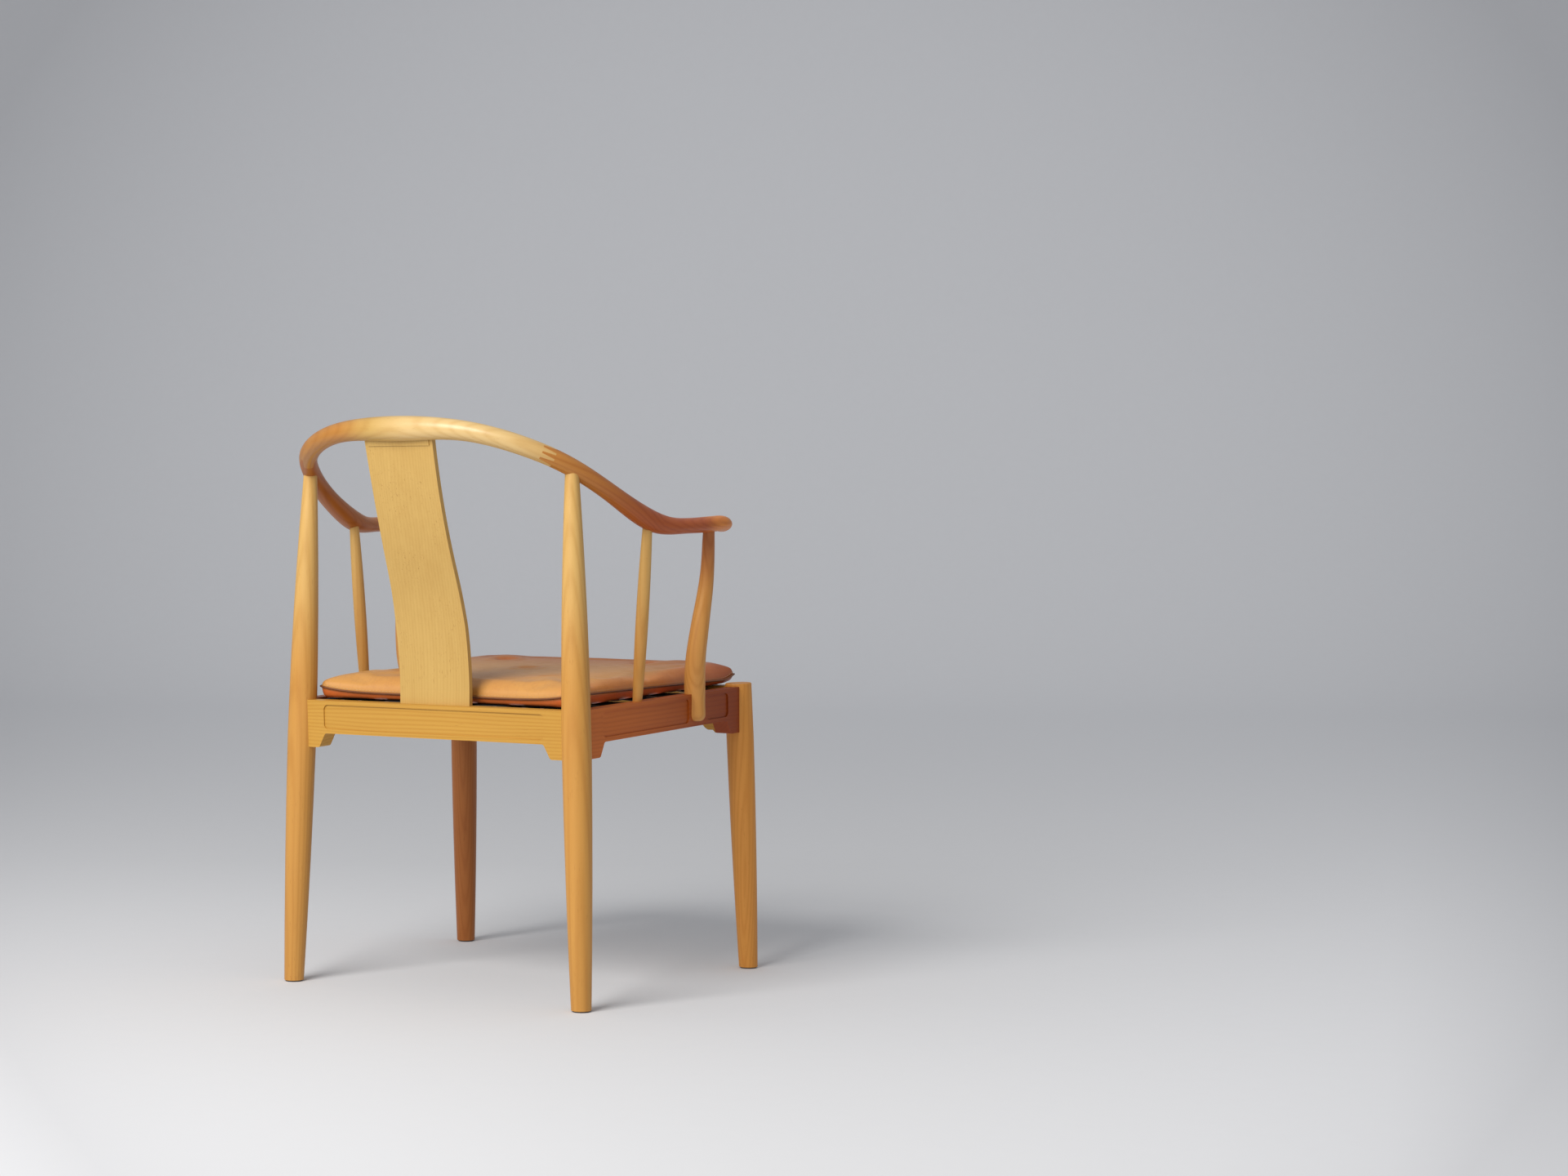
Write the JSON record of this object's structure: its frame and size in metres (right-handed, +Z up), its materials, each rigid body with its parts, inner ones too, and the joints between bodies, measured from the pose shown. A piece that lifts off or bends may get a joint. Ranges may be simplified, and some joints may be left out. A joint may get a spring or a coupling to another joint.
{
  "type": "horseshoe back armchair",
  "caption": "Solid wood armchair with a horseshoe top rail, a bent splat, turned legs, bracketed seat rails, a webbed seat and a loose tufted leather cushion.",
  "frame": {"origin": "on the floor, under the middle of the chair's overall length and width", "axes": "+X to the sitter's left, -Y the way the sitter faces, +Z up"},
  "size_m": [0.5834, 0.5731, 0.8062],
  "materials": {
    "frame_wood": "honey-coloured oiled hardwood, straight grain",
    "crest_wood": "pale honey oiled hardwood",
    "arm_wood": "orange-brown oiled hardwood",
    "webbing": "black woven strap",
    "steel": "plain steel",
    "glide": "dark matte plastic",
    "tan_leather": "tan full-grain leather, soft sheen",
    "padding": "soft cushion filling"
  },
  "bodies": {
    "chair_frame": {"rear_post_left": "frame_wood", "rear_post_right": "frame_wood", "front_leg_left": "frame_wood", "front_leg_right": "frame_wood", "rear_rail": "frame_wood", "front_rail": "frame_wood", "side_rail_left": "frame_wood", "side_rail_right": "frame_wood", "splat": "frame_wood", "arm_spindle_left": "frame_wood", "arm_spindle_right": "frame_wood", "arm_post_left": "frame_wood", "arm_post_right": "frame_wood", "crest_rail": "crest_wood", "arm_left": "arm_wood", "arm_right": "arm_wood", "corner_block_front_left": "frame_wood", "corner_block_front_right": "frame_wood", "corner_block_rear_left": "frame_wood", "corner_block_rear_right": "frame_wood", "long_strap_1": "webbing", "long_strap_2": "webbing", "long_strap_3": "webbing", "long_strap_4": "webbing", "long_strap_5": "webbing", "cross_strap_1": "webbing", "cross_strap_2": "webbing", "cross_strap_3": "webbing", "cross_strap_4": "webbing", "cross_strap_5": "webbing", "strap_tacks": "steel", "frame_screws": "steel", "floor_glides": "glide"},
    "seat_cushion": {"cushion_cover": "tan_leather", "cushion_welt": "tan_leather", "cushion_pad": "padding"}
  },
  "joints": [
    {"name": "cushion_lift", "type": "slide", "parent": "chair_frame", "child": "seat_cushion", "axis": [0, 0, 1], "range_m": [0, 0.42]}
  ]
}
